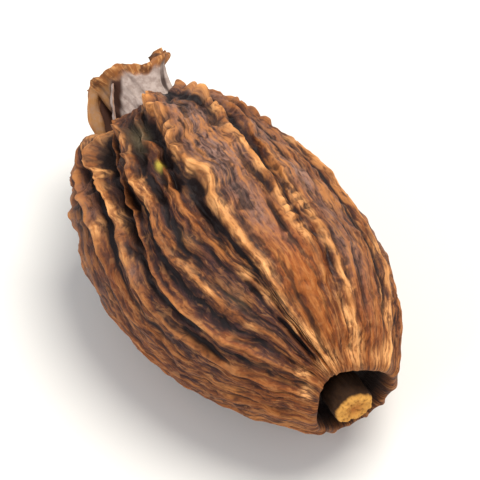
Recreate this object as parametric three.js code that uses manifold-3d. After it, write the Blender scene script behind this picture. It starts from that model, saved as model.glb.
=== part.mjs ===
// Dried black cardamom pod, one fruit, lying on its side as it settles on a table.
// Millimetres, +Z up.  The long axis runs along X: the withered flower tube is
// at -X and the broken stalk is at +X.  The origin is under the middle of the
// pod, on the surface that it rests on.
import * as THREE from "three";
import Module from "manifold-3d";

// ---------------------------------------------------------------- dimensions
// Where the crest of each rib runs: its angle about the long axis, in degrees,
// at these places along the axis (zero is the widest place).
const STATIONS = [-11, -8, -5, -2, 1, 4, 8, 11, 15];
const RIBS = [
  [110, 110, 108, 104, 102, 102, 101, 100, 94],
  [87, 86, 85, 80.5, 77.5, 77.5, 77.5, 76, 65],
  [76, 73, 69, 63, 58.5, 57, 57.5, 55, 45],
  [64, 61, 54, 45, 39.5, 36.5, 37.2, 34, 24],
  [46, 47, 39, 35.5, 32.3, 30, 28, 25, 16],
  [12, 15.5, 10.5, 9, 7, 4.6, 3, 0.8, -1],
  [-1, 1, 0, -3, -7, -6, -4, -4, -6],
  [-16, -13, -16, -18, -25, -25, -23, -19, -14],
  [-30, -27, -26, -28, -36, -41, -40, -33.5, -25],
  [-48, -40, -35.5, -38, -49.5, -54, -55, -53, -41],
  [-62, -55, -50, -57, -66, -70, -71, -69, -58],
  [-82, -77, -71, -74, -81, -84, -84, -82, -74],
  [-99, -97, -93, -93, -97, -99, -100, -99, -95],
  [-117, -117, -117, -116, -115, -115, -115, -115, -114],
  [-136, -136, -136, -136, -136, -136, -136, -136, -135],
  [-156, -157, -158, -159, -160, -160, -159, -158, -157],
  [-178, -179, -181, -182, -183, -183, -182, -181, -180],
  [-201, -202, -204, -205, -206, -206, -205, -204, -204],
  [-226, -225, -226, -228, -229, -229, -229, -229, -231],
];
// How tall each rib is against the profile: at the flower end, the middle and the stalk end.
const RIB_SIZE = [
  [1, 0.8, 0.8], [0.95, 0.9, 1], [0.6, 0.35, 0.3], [0.4, 0.8, 1.2], [1.15, 1.1, 0.3], [1.2, 1.25, 1.25],
  [0.1, 0.55, 0.6], [0.7, 0.85, 0.5], [0, 0.7, 1], [1.0, 0.8, 0.6], [0.95, 0.65, 0.8], [0.9, 0.55, 0.6],
  [0.85, 0.7, 0.7], [1.05, 0.9, 1], [0.9, 0.98, 0.9], [0.8, 0.3, 0.5], [0.85, 1.05, 0.9], [1, 0.9, 1], [0.9, 0.95, 0.85],
];
// How deep the hollows beside each rib go, against the profile, at the same three places.
const RIB_DEPTH = [
  [0.8, 0.7, 0.8], [0.8, 0.75, 0.8], [0.6, 0.5, 0.7], [0.6, 0.6, 0.85], [0.85, 0.75, 0.6], [1, 1, 1],
  [1, 1, 0.9], [1.1, 1.1, 0.9], [1.25, 1.15, 1], [1.1, 1, 0.8], [0.8, 0.7, 0.7], [0.6, 0.5, 0.6],
  [0.7, 0.6, 0.7], [0.9, 0.9, 0.9], [0.9, 0.9, 0.9], [0.9, 0.9, 0.9], [0.9, 1, 0.9], [0.9, 0.8, 0.9], [0.9, 0.8, 0.9],
];
const ACROSS_RIB = [-1, -0.62, -0.28, 0, 0.28, 0.62]; // rows across a rib, valley to valley, crest at 0
const RIB_FOOT = 1.05, RIB_CORD = 0.3, CORD_SHARE = 0.38; // a rib's broad foot and the cord along its crest: half widths, and the cord's share of the height
// the side above the main rib stands out a little, and the side below it falls back
const MAIN_RIB = 5, STEP_UP = 0.12, STEP_DOWN = 0.34;

// Along the pod, from the floor of the pit at the flower end to the floor of the
// pit at the stalk end: x, radius over the crests, rib height, and how far the
// middle of the section lies off the axis.
const PROFILE = [
  [-9.2, 0, 0, 0.1], [-9.2, 2.1, 0, 0.1], [-9.9, 2.4, 0, 0.05], [-10.4, 2.9, 0.1, 0], [-10.7, 3.6, 0.4, -0.35],
  [-10.5, 4.8, 0.8, -0.85], [-9.5, 6.15, 1.1, -1.25], [-7.7, 7.35, 1.2, -1.5], [-5.3, 8.2, 1.1, -1.55],
  [-2.2, 8.85, 0.95, -1.4], [1.2, 9.05, 0.8, -1.05], [4.6, 8.75, 0.7, -0.65], [7.8, 7.95, 0.62, -0.3],
  [10.6, 6.65, 0.58, -0.05], [12.9, 5.15, 0.52, 0.1], [14.3, 4.15, 0.45, 0.15], [15.05, 3.45, 0.3, 0.15],
  [15.05, 2.95, 0.06, 0.1], [14.2, 2.65, 0, 0], [12.7, 2.3, 0, -0.1], [12.7, 0, 0, -0.1],
];
// The rim at the stalk end is worn back on one side: by how much, and at what angle it is worn most.
const RIM_CUT = 1.15, RIM_CUT_DEG = -8, RIM_CUT_SPREAD = 40;
// Two blunt knobs by the flower end: x, angle, half length, half width and height.
const KNOBS = [[-10.2, -54, 0.9, 0.85, 1.4], [-8.9, -64, 1, 0.85, 1.1]];
const HUSK_ROWS = 40; // rows along the profile
const THREE_SIDED = 0.03; // how far the section is from round, as a share of the radius
const FLAT_SIDE_DEG = -159.4; // the middle of one of its three flatter sides: it lies on this one
const LEAN = 0.03; // how far the flower end leans back, in mm for each mm across

// The withered flower tube: a thin, open cup with a torn, flared mouth.
const TUBE_BASE_X = -9.5, TUBE_MOUTH_X = -14.5, TUBE_OFF_Y = 0.05, TUBE_RISE_Y = -0.45;
const TUBE_NECK_R = 1.7, TUBE_WAIST_R = 2.15, TUBE_MOUTH_R = 2.8, TUBE_WALL = 0.42, TUBE_FLOOR = 1.6;
const TUBE_FLAT = 0.28; // how far the tube is squashed
const TUBE_UPRIGHT_DEG = 268, TUBE_UPRIGHT_SPREAD = 48; // round the tube, the side that flares less and stands taller
const TUBE_FLARE_LESS = 0.85, TUBE_TALLER = 0.75;
const TUBE_SIDES = 32;

// The stub of the stalk, snapped off short in the pit at the base.
const STUB_R = 1.35, STUB_FROM_X = 13.1, STUB_TO_X = 15.55, STUB_OFF_Y = -0.2, STUB_SIDES = 20;

// How it lies.
const ROLL_DEG = 21.15, PITCH_DEG = 4.42;
const FLAT_DEPTH = 0.3; // how far the crests underneath are worn flat where it rests

// ------------------------------------------------------------------- helpers
const RAD = Math.PI / 180;
const hash = (a, b) => {
  const s = Math.sin(a * 12.9898 + b * 78.233 + 0.5) * 43758.5453;
  return s - Math.floor(s);
};
// an irregular smooth signal between -1 and 1, made from a few sines
const ripple = (seed, x, perMm) => {
  let sum = 0, total = 0, a = 1, f = perMm;
  for (let k = 0; k < 3; k++) {
    sum += a * Math.sin(2 * Math.PI * (f * x + hash(seed, k)));
    total += a;
    a *= 0.55;
    f *= 1.7 + 0.3 * hash(seed, k + 10);
  }
  return sum / total;
};
const smooth = (a, b, x) => {
  const t = Math.min(1, Math.max(0, (x - a) / (b - a)));
  return t * t * (3 - 2 * t);
};
// a smooth curve y(x) through the points (xs, ys), held level outside them
function through(xs, ys, x) {
  const n = xs.length, q = Math.min(xs[n - 1], Math.max(xs[0], x));
  let i = 0;
  while (i < n - 2 && q >= xs[i + 1]) i++;
  const slope = (k) => {
    if (k === 0) return (ys[1] - ys[0]) / (xs[1] - xs[0]);
    if (k === n - 1) return (ys[n - 1] - ys[n - 2]) / (xs[n - 1] - xs[n - 2]);
    const a = xs[k] - xs[k - 1], b = xs[k + 1] - xs[k];
    return (a * a * ys[k + 1] - b * b * ys[k - 1] + (b * b - a * a) * ys[k]) / (a * b * (a + b));
  };
  const h = xs[i + 1] - xs[i], u = (q - xs[i]) / h;
  return (2 * u ** 3 - 3 * u ** 2 + 1) * ys[i] + (u ** 3 - 2 * u ** 2 + u) * h * slope(i) +
    (3 * u ** 2 - 2 * u ** 3) * ys[i + 1] + (u ** 3 - u ** 2) * h * slope(i + 1);
}

// ---------------------------------------------------------------------- husk
const place = new THREE.CatmullRomCurve3(PROFILE.map(([x, r]) => new THREE.Vector3(x, r, 0)), false, "centripetal");
const shape = new THREE.CatmullRomCurve3(PROFILE.map(([, , h, c]) => new THREE.Vector3(h, c, 0)), false, "centripetal");

function profileAt(t) {
  const p = place.getPoint(t), e = shape.getPoint(t);
  const a = place.getPoint(Math.max(0, t - 1e-3)), b = place.getPoint(Math.min(1, t + 1e-3));
  const dx = b.x - a.x, dr = b.y - a.y, l = Math.hypot(dx, dr) || 1;
  return { x: p.x, r: Math.max(0, p.y), h: Math.max(0, e.x), c: e.y, nx: -dr / l, nr: dx / l };
}

// The angle of rib i's crest at x, in degrees, with the waves that it makes.
function crestDeg(i, x, radius) {
  const sway = (0.12 + 0.2 * smooth(1, -8, x)) * smooth(14, 9, x) * ripple(i + 40, x, 0.16);
  return through(STATIONS, RIBS[i], x) + sway / Math.max(radius, 2.5) / RAD;
}
// How tall that crest is against the profile, with its teeth.
function crestSize(i, x) {
  const tooth = (0.08 + 0.16 * smooth(0, -7, x)) * smooth(14, 10, x) * ripple(i + 80, x, 0.21);
  return through([-9, 2, 13], RIB_SIZE[i], x) * (1 + tooth);
}
// The shape of a rib, 1 on its crest, at d mm from it, where k scales its width.
const ribAt = (d, k) =>
  (1 - CORD_SHARE) * Math.exp(-Math.pow(d / (RIB_FOOT * k), 1.7)) + CORD_SHARE * Math.exp(-Math.pow(d / (RIB_CORD * k), 2));

// The point w of the way (-1 to 1) across rib i, at the place t along the profile.
function huskPoint(i, w, t) {
  const n = RIBS.length, p = profileAt(t);
  const other = w < 0 ? (i + n - 1) % n : (i + 1) % n;
  const mine = crestDeg(i, p.x, p.r);
  let next = crestDeg(other, p.x, p.r);
  if (w < 0 && next < mine) next += 360;
  if (w > 0 && next > mine) next -= 360;
  const deg = mine + ((next - mine) / 2) * Math.abs(w);
  const lump = 1 - THREE_SIDED * Math.cos(3 * (deg - FLAT_SIDE_DEG) * RAD) * smooth(2, 6, p.r);
  // across the rib, in mm: the distance from the crest, and from crest to valley
  const gap = (Math.abs(next - mine) / 2) * RAD * p.r, d = Math.abs(w) * gap;
  const k = Math.min(1.15, Math.max(0.3, gap / 1.5)), edge = ribAt(gap, k), crest = (ribAt(d, k) - edge) / (1 - edge);
  const near = through([-9, 2, 13], RIB_DEPTH[i], p.x), far = through([-9, 2, 13], RIB_DEPTH[other], p.x);
  const h = p.h * (near + (far - near) * 0.5 * w * w);
  let rise = h * (crestSize(i, p.x) * crest - 1);
  const past = ((deg - crestDeg(MAIN_RIB, p.x, p.r) + 540) % 360) - 180;
  rise += (STEP_UP * smooth(-1, 4, past) * smooth(75, 40, past) - STEP_DOWN * smooth(0, -7, past) * smooth(-55, -22, past)) *
    smooth(-10, -7, p.x) * smooth(15, 12.5, p.x) * smooth(2.3, 3.6, p.r);
  for (const [kx, kdeg, along, across, high] of KNOBS) {
    const e = Math.pow((p.x - kx) / along, 2) + Math.pow(((deg - kdeg) * RAD * Math.max(p.r, 3)) / across, 2);
    rise += high * smooth(3.2, 4.8, p.r) * Math.exp(-Math.pow(e, 1.5)) * (1 - 0.8 * Math.exp(-Math.pow(d / (0.33 * k), 2)));
  }
  const r = p.r * lump + p.nr * rise, off = p.c + r * Math.sin(deg * RAD);
  const lean = LEAN * (off - p.c) * smooth(-3, -10, p.x) * smooth(2, 4, p.r);
  const turn = ((((deg - RIM_CUT_DEG) % 360) + 540) % 360) - 180;
  const cut = RIM_CUT * Math.exp(-Math.pow(turn / RIM_CUT_SPREAD, 2)) * smooth(12.2, 15.05, p.x);
  return new THREE.Vector3(p.x + p.nx * rise + lean - cut, off, r * Math.cos(deg * RAD));
}

function huskGeometry() {
  const around = RIBS.length * ACROSS_RIB.length;
  // a plain turned blank of the same rows and sides, which the ribs then reshape
  const blank = [];
  for (let j = 0; j <= HUSK_ROWS; j++) {
    const p = profileAt(j / HUSK_ROWS);
    blank.push(new THREE.Vector2(j === 0 || j === HUSK_ROWS ? 0 : Math.max(p.r, 0.05), p.x));
  }
  const g = new THREE.LatheGeometry(blank, around), at = g.attributes.position;
  for (let k = 0; k <= around; k++) {
    const m = k % around, i = Math.floor(m / ACROSS_RIB.length), w = ACROSS_RIB[m % ACROSS_RIB.length];
    for (let j = 0; j <= HUSK_ROWS; j++) {
      const v = huskPoint(i, w, j / HUSK_ROWS);
      if (j === 0 || j === HUSK_ROWS) v.set(profileAt(j / HUSK_ROWS).x, profileAt(j / HUSK_ROWS).c, 0);
      at.setXYZ(k * (HUSK_ROWS + 1) + j, v.x, v.y, v.z);
    }
  }
  return g;
}

// --------------------------------------------------------------- flower tube
function tubeGeometry() {
  // outside from the base to the mouth, then inside back to the floor of the cup
  const n = 9, pts = [];
  const outer = (u) => THREE.MathUtils.lerp(TUBE_NECK_R, TUBE_WAIST_R, smooth(0, 0.45, u)) + (TUBE_MOUTH_R - TUBE_WAIST_R) * smooth(0.35, 1, u);
  pts.push([0, 0]);
  for (let k = 0; k <= n; k++) pts.push([k / n, outer(k / n)]);
  const floor = TUBE_FLOOR / (TUBE_BASE_X - TUBE_MOUTH_X);
  for (let k = n; k >= 0; k--) {
    const u = floor + (k / n) * (1 - floor);
    pts.push([u, outer(u) - TUBE_WALL]);
  }
  pts.push([floor, 0]);
  const g = new THREE.LatheGeometry(pts.map(([u, r]) => new THREE.Vector2(r, u)), TUBE_SIDES);
  const at = g.attributes.position, rows = pts.length;
  for (let k = 0; k <= TUBE_SIDES; k++) {
    const a = ((k % TUBE_SIDES) / TUBE_SIDES) * 2 * Math.PI;
    for (let j = 0; j < rows; j++) {
      const [u, r] = pts[j], mouth = smooth(0.45, 1, u);
      const upright = Math.exp(-Math.pow((((a / RAD - TUBE_UPRIGHT_DEG + 540) % 360) - 180) / TUBE_UPRIGHT_SPREAD, 2));
      const torn = 0.4 * Math.sin(2 * a + 3.4) + 0.28 * Math.sin(3 * a + 2.1) + 0.15 * Math.sin(7 * a + 0.4) + TUBE_TALLER * upright;
      const pleat = 1 + 0.045 * Math.sin(6 * a + 1 + 0.8 * u) * smooth(0.1, 0.6, u) + 0.08 * mouth * Math.sin(5 * a + 2.6);
      const x = TUBE_BASE_X + (TUBE_MOUTH_X - TUBE_BASE_X) * u - (r > 0 ? torn * mouth : 0);
      const rr = r > 0 ? (r - TUBE_FLARE_LESS * upright * smooth(0.4, 1, u)) * pleat : 0;
      at.setXYZ(k * rows + j, x, TUBE_OFF_Y + TUBE_RISE_Y * u + rr * Math.sin(a) * (1 + 0.06 * mouth), rr * Math.cos(a) * (1 - TUBE_FLAT * smooth(0.05, 0.6, u)));
    }
  }
  return g;
}

// ---------------------------------------------------------------- stalk stub
function stubGeometry() {
  const long = STUB_TO_X - STUB_FROM_X;
  const pts = [[0, 0], [0, 0.9], [0.12, 1], [0.45, 1], [0.8, 0.97], [0.95, 0.86], [1, 0.6], [0.93, 0.28], [0.96, 0]];
  const g = new THREE.LatheGeometry(pts.map(([u, r]) => new THREE.Vector2(r, u)), STUB_SIDES);
  const at = g.attributes.position;
  for (let k = 0; k <= STUB_SIDES; k++) {
    const a = ((k % STUB_SIDES) / STUB_SIDES) * 2 * Math.PI;
    for (let j = 0; j < pts.length; j++) {
      const [u, q] = pts[j];
      const r = q * STUB_R * (1 + 0.05 * Math.sin(3 * a + 0.8) + 0.03 * Math.sin(5 * a));
      const slant = (0.1 * q * Math.sin(a) - 0.34 * q * Math.cos(a)) * smooth(0.4, 1, u);
      at.setXYZ(k * pts.length + j, STUB_FROM_X + long * u + slant, STUB_OFF_Y + r * Math.sin(a), r * Math.cos(a) * 0.88);
    }
  }
  return g;
}

// ------------------------------------------------------------ solids and cut
const wasm = await Module();
wasm.setup();

// the merged, closed form of a geometry, turned to face out
function closed(geometry) {
  const src = geometry.index ? geometry.toNonIndexed() : geometry;
  const p = src.attributes.position, keys = new Map(), verts = [], tris = [];
  for (let i = 0; i < p.count; i += 3) {
    const t = [0, 1, 2].map((c) => {
      const v = [p.getX(i + c), p.getY(i + c), p.getZ(i + c)];
      const key = v.map((q) => Math.round(q * 1e4)).join();
      if (!keys.has(key)) { keys.set(key, verts.length / 3); verts.push(...v); }
      return keys.get(key);
    });
    if (t[0] !== t[1] && t[1] !== t[2] && t[0] !== t[2]) tris.push(...t);
  }
  const make = (tv) => new wasm.Manifold(new wasm.Mesh({ numProp: 3, vertProperties: new Float32Array(verts), triVerts: new Uint32Array(tv) }));
  let solid = make(tris);
  if (solid.volume() < 0) {
    for (let i = 0; i < tris.length; i += 3) [tris[i + 1], tris[i + 2]] = [tris[i + 2], tris[i + 1]];
    solid = make(tris);
  }
  return solid;
}
function geometryOf(solid) {
  const m = solid.getMesh(), n = m.numProp, v = new Float32Array(m.numVert * 3);
  for (let i = 0; i < m.numVert; i++) v.set(m.vertProperties.subarray(i * n, i * n + 3), i * 3);
  const g = new THREE.BufferGeometry().setAttribute("position", new THREE.BufferAttribute(v, 3)).setIndex(new THREE.BufferAttribute(m.triVerts, 1));
  g.computeVertexNormals();
  return g;
}

// the pod laid down: turned about its long axis, then tipped onto its heavier end
const laid = new THREE.Group();
laid.rotation.set(ROLL_DEG * RAD, PITCH_DEG * RAD, 0, "YXZ");
laid.updateMatrix();

const husk = huskGeometry(), tube = tubeGeometry(), stub = stubGeometry();
const boxOf = (g) => new THREE.Box3().setFromBufferAttribute(g.clone().applyMatrix4(laid.matrix).attributes.position);
const whole = boxOf(husk).union(boxOf(tube)).union(boxOf(stub)), mid = whole.getCenter(new THREE.Vector3());
// set on the surface, with the origin under the middle of the whole pod
laid.position.set(-mid.x, -mid.y, -(boxOf(husk).min.z + FLAT_DEPTH));
laid.updateMatrix();

// wear the lowest crests to one flat plane, the surface that it rests on
const below = new THREE.BoxGeometry(60, 60, 10).translate(0, 0, -5).applyMatrix4(laid.matrix.clone().invert());
const huskSolid = closed(husk).subtract(closed(below));

const parts = {
  husk: [geometryOf(huskSolid), new THREE.MeshStandardMaterial({ color: 0x7a4a2c, roughness: 0.78, metalness: 0 })],
  flower_tube: [geometryOf(closed(tube)), new THREE.MeshStandardMaterial({ color: 0x9a8578, roughness: 0.85, metalness: 0 })],
  stalk_stub: [geometryOf(closed(stub)), new THREE.MeshStandardMaterial({ color: 0xb07a3c, roughness: 0.85, metalness: 0 })],
};
for (const [name, [geometry, material]] of Object.entries(parts)) {
  const mesh = new THREE.Mesh(geometry, material);
  mesh.name = name;
  laid.add(mesh);
}

const pod = new THREE.Group();
pod.add(laid);

export default pod;
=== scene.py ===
import math
import bpy
import numpy as np
from mathutils import Matrix, Vector

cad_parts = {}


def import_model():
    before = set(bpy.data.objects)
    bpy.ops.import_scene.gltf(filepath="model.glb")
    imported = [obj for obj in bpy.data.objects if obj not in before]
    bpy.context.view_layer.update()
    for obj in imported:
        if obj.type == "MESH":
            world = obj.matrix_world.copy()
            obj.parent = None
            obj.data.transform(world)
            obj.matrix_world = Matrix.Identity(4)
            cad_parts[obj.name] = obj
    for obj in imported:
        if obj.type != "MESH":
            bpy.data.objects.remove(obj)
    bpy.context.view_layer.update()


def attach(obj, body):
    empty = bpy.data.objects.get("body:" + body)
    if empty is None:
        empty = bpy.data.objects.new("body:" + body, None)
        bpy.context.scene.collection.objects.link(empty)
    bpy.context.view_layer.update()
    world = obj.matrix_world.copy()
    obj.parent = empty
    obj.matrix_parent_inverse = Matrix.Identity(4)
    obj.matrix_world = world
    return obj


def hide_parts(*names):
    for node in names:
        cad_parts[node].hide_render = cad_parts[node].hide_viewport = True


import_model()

RAD = math.pi / 180

# =====================================================================
# Shape of the pod, in millimetres, in its own frame: X is the long axis,
# the angle of a place about it is 0 towards +Z and 90 towards +Y.
# =====================================================================
STATIONS = [-11, -8, -5, -2, 1, 4, 8, 11, 15]
RIBS = [
    [110, 110, 108, 104, 102, 102, 101, 100, 94],
    [87, 86, 85, 80.5, 77.5, 77.5, 77.5, 76, 65],
    [76, 73, 69, 63, 58.5, 57, 57.5, 55, 45],
    [64, 61, 54, 45, 39.5, 36.5, 37.2, 34, 24],
    [46, 47, 39, 35.5, 32.3, 30, 28, 25, 16],
    [12, 15.5, 10.5, 9, 7, 4.6, 3, 0.8, -1],
    [-1, 1, 0, -3, -7, -6, -4, -4, -6],
    [-16, -13, -16, -18, -25, -25, -23, -19, -14],
    [-30, -27, -26, -28, -36, -41, -40, -33.5, -25],
    [-48, -40, -35.5, -38, -49.5, -54, -55, -53, -41],
    [-62, -55, -50, -57, -66, -70, -71, -69, -58],
    [-82, -77, -71, -74, -81, -84, -84, -82, -74],
    [-99, -97, -93, -93, -97, -99, -100, -99, -95],
    [-117, -117, -117, -116, -115, -115, -115, -115, -114],
    [-136, -136, -136, -136, -136, -136, -136, -136, -135],
    [-156, -157, -158, -159, -160, -160, -159, -158, -157],
    [-178, -179, -181, -182, -183, -183, -182, -181, -180],
    [-201, -202, -204, -205, -206, -206, -205, -204, -204],
    [-226, -225, -226, -228, -229, -229, -229, -229, -231],
]
RIB_SIZE = [
    [1, 0.8, 0.8], [0.95, 0.9, 1], [0.6, 0.35, 0.3], [0.4, 0.8, 1.2], [1.15, 1.1, 0.3], [1.2, 1.25, 1.25],
    [0.1, 0.55, 0.6], [0.7, 0.85, 0.5], [0, 0.7, 1], [1.0, 0.8, 0.6], [0.95, 0.65, 0.8], [0.9, 0.55, 0.6],
    [0.85, 0.7, 0.7], [1.05, 0.9, 1], [0.9, 0.98, 0.9], [0.8, 0.3, 0.5], [0.85, 1.05, 0.9], [1, 0.9, 1], [0.9, 0.95, 0.85],
]
RIB_DEPTH = [  # how deep the hollows beside a rib go, against the pod's own rib height
    [0.8, 0.7, 0.8], [0.8, 0.75, 0.8], [0.6, 0.5, 0.7], [0.6, 0.6, 0.85], [0.85, 0.75, 0.6], [1, 1, 1],
    [1, 1, 0.9], [1.1, 1.1, 0.9], [1.25, 1.15, 1], [1.1, 1, 0.8], [0.8, 0.7, 0.7], [0.6, 0.5, 0.6],
    [0.7, 0.6, 0.7], [0.9, 0.9, 0.9], [0.9, 0.9, 0.9], [0.9, 0.9, 0.9], [0.9, 1, 0.9], [0.9, 0.8, 0.9], [0.9, 0.8, 0.9],
]
RIB_TONE = [
    [0.5, 0.4, 0.4], [0.6, 0.85, 0.9], [0.6, 0.3, 0.3], [0.4, 0.7, 0.95], [1, 0.9, 0.4], [1, 1, 1],
    [0.3, 0.7, 0.9], [0.95, 0.65, 0.4], [0.1, 0.6, 0.7], [0.85, 0.5, 0.5], [0.7, 0.4, 0.35], [0.6, 0.3, 0.4],
    [0.5, 0.4, 0.5], [0.6, 0.5, 0.6], [0.5, 0.6, 0.5], [0.6, 0.4, 0.5], [0.6, 0.6, 0.6], [0.7, 0.5, 0.5], [0.5, 0.5, 0.5],
]
RIB_KNOB = [0.5, 0.6, 0.7, 0.5, 1.1, 1.5, 0.5, 0.8, 0.1, 0.15, 0.3, 0.15, 0.15, 0.25, 0.5, 0.3, 0.5, 0.6, 0.5]  # how knobbly each crest is
PROFILE = [
    [-9.2, 0, 0, 0.1], [-9.2, 2.1, 0, 0.1], [-9.9, 2.4, 0, 0.05], [-10.4, 2.9, 0.1, 0], [-10.7, 3.6, 0.4, -0.35],
    [-10.5, 4.8, 0.8, -0.85], [-9.5, 6.15, 1.1, -1.25], [-7.7, 7.35, 1.2, -1.5], [-5.3, 8.2, 1.1, -1.55],
    [-2.2, 8.85, 0.95, -1.4], [1.2, 9.05, 0.8, -1.05], [4.6, 8.75, 0.7, -0.65], [7.8, 7.95, 0.62, -0.3],
    [10.6, 6.65, 0.58, -0.05], [12.9, 5.15, 0.52, 0.1], [14.3, 4.15, 0.45, 0.15], [15.05, 3.45, 0.3, 0.15],
    [15.05, 2.95, 0.06, 0.1], [14.2, 2.65, 0, 0], [12.7, 2.3, 0, -0.1], [12.7, 0, 0, -0.1],
]
THREE_SIDED, FLAT_SIDE_DEG, LEAN = 0.03, -159.4, 0.03
FOOT, CORD, CORD_SHARE = 1.05, 0.30, 0.38  # a rib's broad foot and the narrow cord along its crest, half widths in mm
MAIN_RIB, STEP_UP, STEP_DOWN = 5, 0.12, 0.34  # the side of the pod above its main rib stands out, the side below it falls back
RIM_CUT, RIM_CUT_DEG, RIM_CUT_SPREAD = 1.15, -8, 40  # the rim at the stalk end is worn back on one side
ROLL_DEG, PITCH_DEG = 21.15, 4.42
SHIFT = np.array([-0.148154736, 1.092726231, 8.423147392])

cr, sr = math.cos(ROLL_DEG * RAD), math.sin(ROLL_DEG * RAD)
cp, sp = math.cos(PITCH_DEG * RAD), math.sin(PITCH_DEG * RAD)
LAY = np.array([[cp, 0, sp], [0, 1, 0], [-sp, 0, cp]]) @ np.array([[1, 0, 0], [0, cr, -sr], [0, sr, cr]])


def world(P):
    """pod frame, millimetres -> row frame, millimetres"""
    return P @ LAY.T + SHIFT


def smooth(a, b, x):
    t = np.clip((np.asarray(x, float) - a) / (b - a), 0, 1)
    return t * t * (3 - 2 * t)


def lerp(a, b, t):
    return a + (b - a) * t


def hash1(a, b):
    s = np.sin(np.asarray(a, float) * 12.9898 + np.asarray(b, float) * 78.233 + 0.5) * 43758.5453
    return s - np.floor(s)


def ripple(seed, x, per_mm):
    total, out, a, f = 0.0, 0.0, 1.0, per_mm
    for k in range(3):
        out = out + a * np.sin(2 * math.pi * (f * x + hash1(seed, k)))
        total += a
        a *= 0.55
        f = f * (1.7 + 0.3 * hash1(seed, k + 10))
    return out / total


def through(xs, ys, x):
    xs, ys = np.asarray(xs, float), np.asarray(ys, float)
    m = np.gradient(ys, xs)
    q = np.clip(x, xs[0], xs[-1])
    i = np.clip(np.searchsorted(xs, q, side="right") - 1, 0, len(xs) - 2)
    h = xs[i + 1] - xs[i]
    u = (q - xs[i]) / h
    return ((2 * u**3 - 3 * u**2 + 1) * ys[i] + (u**3 - 2 * u**2 + u) * h * m[i]
            + (3 * u**2 - 2 * u**3) * ys[i + 1] + (u**3 - u**2) * h * m[i + 1])


def centripetal(points, t):
    P = np.asarray(points, float)
    n = len(P)
    p = np.asarray(t, float) * (n - 1)
    i = np.minimum(np.floor(p).astype(int), n - 2)
    w = (p - i)[:, None]
    Q = np.vstack([2 * P[0] - P[1], P, 2 * P[-1] - P[-2]])
    a, b, c, d = Q[i], Q[i + 1], Q[i + 2], Q[i + 3]

    def dist(u, v):
        return np.power(np.sum((u - v) ** 2, axis=1), 0.25)
    d0, d1, d2 = dist(a, b), dist(b, c), dist(c, d)
    d1 = np.where(d1 < 1e-4, 1.0, d1)
    d0 = np.where(d0 < 1e-4, d1, d0)
    d2 = np.where(d2 < 1e-4, d1, d2)
    d0, d1, d2 = d0[:, None], d1[:, None], d2[:, None]
    t1 = ((b - a) / d0 - (c - a) / (d0 + d1) + (c - b) / d1) * d1
    t2 = ((c - b) / d1 - (d - b) / (d1 + d2) + (d - c) / d2) * d1
    return b + t1 * w + (-3 * b + 3 * c - 2 * t1 - t2) * w**2 + (2 * b - 2 * c + t1 + t2) * w**3


def profile(t):
    xr = [[r[0], r[1]] for r in PROFILE]
    e, f = centripetal(xr, t), centripetal([[r[2], r[3]] for r in PROFILE], t)
    d = centripetal(xr, np.clip(t + 1e-3, 0, 1)) - centripetal(xr, np.clip(t - 1e-3, 0, 1))
    n = np.maximum(np.hypot(d[:, 0], d[:, 1]), 1e-9)
    return e[:, 0], np.maximum(e[:, 1], 0), np.maximum(f[:, 0], 0), f[:, 1], -d[:, 1] / n, d[:, 0] / n


# ------------------------------------------------------------ solid noise
GRAD = np.array([[1, 1, 0], [-1, 1, 0], [1, -1, 0], [-1, -1, 0], [1, 0, 1], [-1, 0, 1],
                 [1, 0, -1], [-1, 0, -1], [0, 1, 1], [0, -1, 1], [0, 1, -1], [0, -1, -1]], float)


def perlin(P, seed=0):
    """gradient noise, about -1 to 1, at the rows of P"""
    P = np.asarray(P, float)
    i = np.floor(P).astype(np.int64)
    f = P - i
    u = f * f * f * (f * (f * 6 - 15) + 10)
    out = np.zeros(P.shape[:-1])
    for c in range(8):
        o = np.array([c & 1, (c >> 1) & 1, (c >> 2) & 1])
        q = i + o
        h = (q[..., 0] * 374761393 + q[..., 1] * 668265263 + q[..., 2] * 1440662683 + seed * 974634777) & 0xFFFFFFFF
        h = ((h ^ (h >> 13)) * 1274126177) & 0xFFFFFFFF
        h = ((h ^ (h >> 16)) * 2246822519) & 0xFFFFFFFF
        g = GRAD[(h >> 20) % 12]
        w = np.prod(np.where(o, u, 1 - u), axis=-1)
        out += w * np.sum(g * (f - o), axis=-1)
    return out * 1.5


def fbm(P, seed, octaves=3, gain=0.5, lac=2.03):
    a, s, t = 1.0, 0.0, 0.0
    for k in range(octaves):
        s = s + a * perlin(P * lac**k, seed + 17 * k)
        t += a
        a *= gain
    return s / t


def ridged(P, seed, sharp=2.0):
    """0 in the flats to 1 along thin lines"""
    return np.power(np.clip(1 - 1.6 * np.abs(perlin(P, seed)), 0, 1), sharp)


def cells(x, pitch, seed, jitter=0.75):
    """distance in mm from x to the nearest of a row of jittered marks, and that mark's own random number"""
    c = np.floor(x / pitch)
    best, rnd = np.full(np.shape(x), 1e9), np.zeros(np.shape(x))
    for o in (-1, 0, 1):
        k = c + o
        pos = (k + 0.5 + jitter * (hash1(k, seed) - 0.5)) * pitch
        d = np.abs(x - pos)
        near = d < best
        best = np.where(near, d, best)
        rnd = np.where(near, hash1(k, seed + 31.7), rnd)
    return best, rnd


# =====================================================================
# The husk surface on a grid: columns run along the ribs, rows go round
# =====================================================================
PER_RIB = 26
NR = len(RIBS)
COLS = NR * PER_RIB
ROWS = 197

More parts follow.
